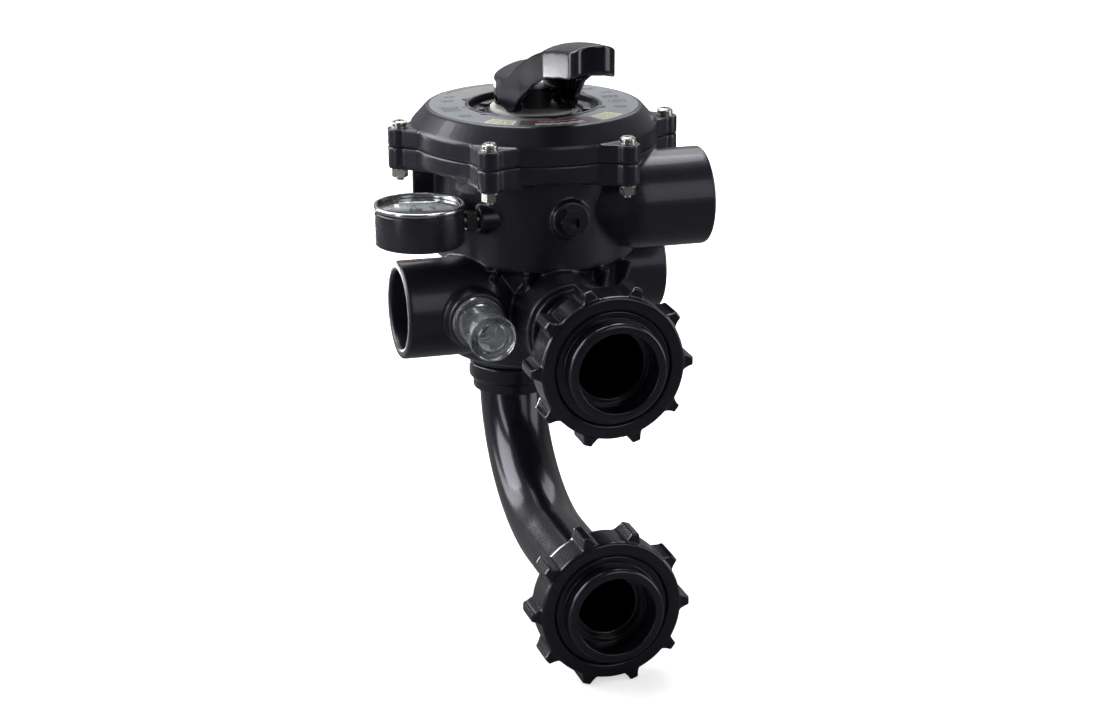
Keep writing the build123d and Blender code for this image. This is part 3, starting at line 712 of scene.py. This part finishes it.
def draped(bm, tree, x, start, end, width):
    """A thin bar along Y that lies on whatever surface is below it."""
    steps = max(2, round(abs(end - start) / 1.5))
    rails = []
    for side in (-0.5, 0.5):
        rail = []
        for i in range(steps + 1):
            high = place(x + side * width, start + (end - start) * i / steps, SKY_Z)
            hit = tree.ray_cast(high, DOWN)[0]
            rail.append([bm.verts.new(hit + off) for off in (INK_ABOVE, INK_BELOW)])
        rails.append(rail)
    left, right = rails
    for i in range(steps):
        (a, b), (c, d) = left[i], left[i + 1]
        (e, f), (g, h) = right[i], right[i + 1]
        for corners in ((a, e, g, c), (b, d, h, f), (a, c, d, b), (e, f, h, g)):
            bm.faces.new(corners)
    for (a, b), (e, f) in ((left[0], right[0]), (left[-1], right[-1])):
        bm.faces.new((a, b, f, e))
    bmesh.ops.recalc_face_normals(bm, faces=bm.faces)


PRINT_START, PRINT_LAST, PRINT_END = -60, -96, -98  # no bar starts beyond LAST or passes END
ROW_PITCH, BAR_WIDTH, BAR_GAP = 4.2, 1.9, 1.2
surface = bmesh.new()
surface.from_mesh(handle.data)
handle_tree = BVHTree.FromBMesh(surface)
surface.free()
handle_print = bmesh.new()
for row in range(5):
    x = ROW_PITCH * (2 - row)
    y = PRINT_START - rng.uniform(0, 4)
    while y > PRINT_LAST:
        run = rng.uniform(3.5, 9)
        draped(handle_print, handle_tree, x, y, max(y - run, PRINT_END), BAR_WIDTH)
        y -= run + BAR_GAP
piece("handle_print", into_mesh("handle_print", handle_print), INK_WHITE, "handle")

# ---- Sticker on the waste port ------------------------------------------------------------------

PORT_Y, PORT_Z, PORT_R = -41.0, 6.0, 38.3
WORDS_X, WORDS_PITCH, WORDS_HEIGHT = -113.6, 3.6, 1.6


def port_band(bm, start_x, end_x, start, end, height):
    """A curved patch on the waste port, between two X positions and two angles from +Y up in degrees."""
    band = bmesh.new()
    arc_band(band, PORT_R - 0.3, PORT_R + height, start, end, start_x, end_x)
    turn = Matrix(((0, 0, 1, 0), (1, 0, 0, PORT_Y), (0, 1, 0, PORT_Z), (0, 0, 0, 1)))
    bmesh.ops.transform(band, matrix=turn, verts=band.verts)
    copy_into(bm, band)


sticker = bmesh.new()
port_band(sticker, -117, -101, -8, 92, 0.1)
printed("port_sticker", sticker, INK_MAROON)
words = bmesh.new()
for row in range(3):
    x = WORDS_X + WORDS_PITCH * row
    angle = 4.0
    while angle < 78:
        run = rng.uniform(5, 14)
        port_band(words, x, x + WORDS_HEIGHT, angle, angle + run, 0.15)
        angle += run + 3
printed("port_sticker_print", words, INK_WHITE)

# ---- Gauge print --------------------------------------------------------------------------------

DIAL_Z = 84.8  # the dial's face
DIAL = (DIAL_Z - BELOW, DIAL_Z + 0.05)
ZERO, SWEEP = -45.0, 270.0  # the pointer turns clockwise from ZERO
FULL_SCALE, NUMERAL_STEP = 60, 10
TICK_R, NUMERAL_R, NUMERAL_SIZE = 28.5, 19.6, 6.4
TRACK_R = (28.6, 29.2)


def numeral(text, x, y, size):
    """Flat digits on the dial, whose top edge is towards -X."""
    curve = bpy.data.curves.new("numeral", "FONT")
    curve.body = text
    curve.size = size
    curve.align_x = curve.align_y = "CENTER"
    curve.extrude = 0.05
    curve.resolution_u = 4
    thing = in_scene("numeral", curve)
    bm = bmesh.new()
    mesh = evaluated(thing)
    bm.from_mesh(mesh)
    bpy.data.objects.remove(thing)
    bpy.data.meshes.remove(mesh)
    bmesh.ops.remove_doubles(bm, verts=bm.verts, dist=1e-4)
    move = Matrix.Translation((x, y, DIAL_Z)) @ Matrix.Rotation(math.radians(90), 4, "Z")
    bmesh.ops.transform(bm, matrix=move, verts=bm.verts)
    return bm


marks = bmesh.new()
for i in range(FULL_SCALE + 1):
    a = math.radians(ZERO - SWEEP * i / FULL_SCALE)
    major = i % NUMERAL_STEP == 0
    length, width = (4.5, 0.8) if major else (2.6, 0.35)
    r = TICK_R - length / 2
    bar(marks, r * math.cos(a), r * math.sin(a), length, width, *DIAL, turn=a)
    if major:
        digits = numeral(str(i), NUMERAL_R * math.cos(a), NUMERAL_R * math.sin(a), NUMERAL_SIZE)
        copy_into(marks, digits)
arc_band(marks, *TRACK_R, ZERO, ZERO - SWEEP, *DIAL, steps=90)
printed("gauge_marks", marks, INK_BLACK, GAUGE)

# ---- Stage, light and camera --------------------------------------------------------------------

AZIMUTH, ELEVATION = math.radians(-16.0), math.radians(17.2)  # where the camera stands
DISTANCE, LENS = 2.116, 86
ORBIT_CENTRE = Vector((0, 0.224, -0.037))
TARGET = Vector((0.0135, 0.224, -0.0593))
CENTRE = (0, 0.2, 0)  # where the lamps point


def aim(thing, target):
    """Turns a camera or a lamp towards a point."""
    thing.rotation_mode = "QUATERNION"
    thing.rotation_quaternion = (Vector(target) - thing.location).to_track_quat("-Z", "Y")


def camera():
    """The photo's viewing angle, from the front left and a little above."""
    flat = math.cos(ELEVATION)
    back = Vector((math.sin(AZIMUTH) * flat, -math.cos(AZIMUTH) * flat, math.sin(ELEVATION)))
    data = bpy.data.cameras.new("camera")
    data.lens = LENS
    data.clip_end = 20
    thing = in_scene("camera", data)
    thing.location = ORBIT_CENTRE + back * DISTANCE
    aim(thing, TARGET)
    bpy.context.scene.camera = thing


def area_light(name, place_at, width, height, power, colour=(1, 1, 1)):
    """A lamp in metres and watts, aimed at CENTRE, that the camera doesn't see."""
    data = bpy.data.lights.new(name, "AREA")
    data.shape = "RECTANGLE"
    data.size, data.size_y, data.energy, data.color = width, height, power, colour
    thing = in_scene(name, data)
    thing.visible_camera = False
    thing.location = place_at
    aim(thing, CENTRE)


def floor_paper():
    """Pale paper that glows white to the camera away from the object, and reflects dark on it."""
    look = Look("floor_paper")
    look.bump(look.noise(0.6, 3), 0.03)
    rays = look.add("ShaderNodeLightPath").outputs
    dark = look.math("MULTIPLY", rays["Is Glossy Ray"], 0.86)
    tone = look.blend(look.noise(0.004, 2), (0.80, 0.80, 0.81), (0.84, 0.84, 0.84))
    point = look.space.outputs["Vector"]
    reach = look.add("ShaderNodeVectorMath", {"operation": "LENGTH"}, Vector=point).outputs["Value"]
    glow = look.span(reach, 0.6, 1.0, 500, 1600)
    return look.finish(**{
        "Base Color": look.blend(dark, tone, (0.02, 0.02, 0.02)),
        "Roughness": 0.85,
        "Specular IOR Level": 0.1,
        "Emission Color": (1, 1, 1, 1),
        "Emission Strength": look.math("MULTIPLY", rays["Is Camera Ray"], glow),
    })


def stage():
    """A round sheet of paper under the object."""
    bm = bmesh.new()
    bmesh.ops.create_circle(bm, cap_ends=True, segments=96, radius=8.0)
    bmesh.ops.translate(bm, vec=(0, 0.2, cad_box[0].z), verts=bm.verts)
    mesh = into_mesh("floor", bm)
    mesh.materials.append(floor_paper())
    in_scene("floor", mesh)


def studio():
    """A room that is brighter behind the object than behind the camera, and white where it is seen."""
    world = bpy.data.worlds.new("studio")
    bpy.context.scene.world = world
    world.use_nodes = True
    tree = world.node_tree

    def node(kind, **values):
        new = tree.nodes.new(kind)
        for key, value in values.items():
            new.inputs[key.replace("_", " ")].default_value = value
        return new

    split = node("ShaderNodeSeparateXYZ")
    tree.links.new(node("ShaderNodeTexCoord").outputs["Generated"], split.inputs[0])
    depth = node("ShaderNodeMapRange", From_Min=-0.5, From_Max=0.8, To_Min=0.06, To_Max=0.3)
    depth.interpolation_type = "SMOOTHSTEP"
    tree.links.new(split.outputs["Y"], depth.inputs["Value"])
    seen = node("ShaderNodeMath")
    seen.operation = "MAXIMUM"
    tree.links.new(depth.outputs["Result"], seen.inputs[0])
    tree.links.new(node("ShaderNodeLightPath").outputs["Is Camera Ray"], seen.inputs[1])
    tree.links.new(seen.outputs["Value"], tree.nodes["Background"].inputs["Strength"])
    tree.nodes["Background"].inputs["Color"].default_value = (0.97, 0.98, 1.0, 1)


bpy.context.scene.view_settings.view_transform = "Standard"  # keeps the plastic black and the paper white
stage()
camera()
studio()
area_light("top_softbox", (0.1, 0.9, 1.8), 1.4, 0.9, 26)
area_light("rear_softbox", (0.45, 1.55, 1.35), 1.9, 1.2, 14)
area_light("front_softbox", (0.75, -1.8, 1.05), 1.2, 1.6, 8)
area_light("left_strip", (-1.7, -0.5, 0.5), 0.3, 1.7, 9, (0.96, 0.97, 1.0))
area_light("left_rim", (-1.3, 1.5, 0.3), 0.4, 1.5, 7)
area_light("left_panel", (-1.45, 0.74, 0.78), 1.2, 1.1, 26)
area_light("low_rim", (-0.17, 1.15, -0.16), 0.36, 0.3, 4.5)
area_light("right_fill", (1.7, -0.5, 0.4), 0.9, 1.5, 10)
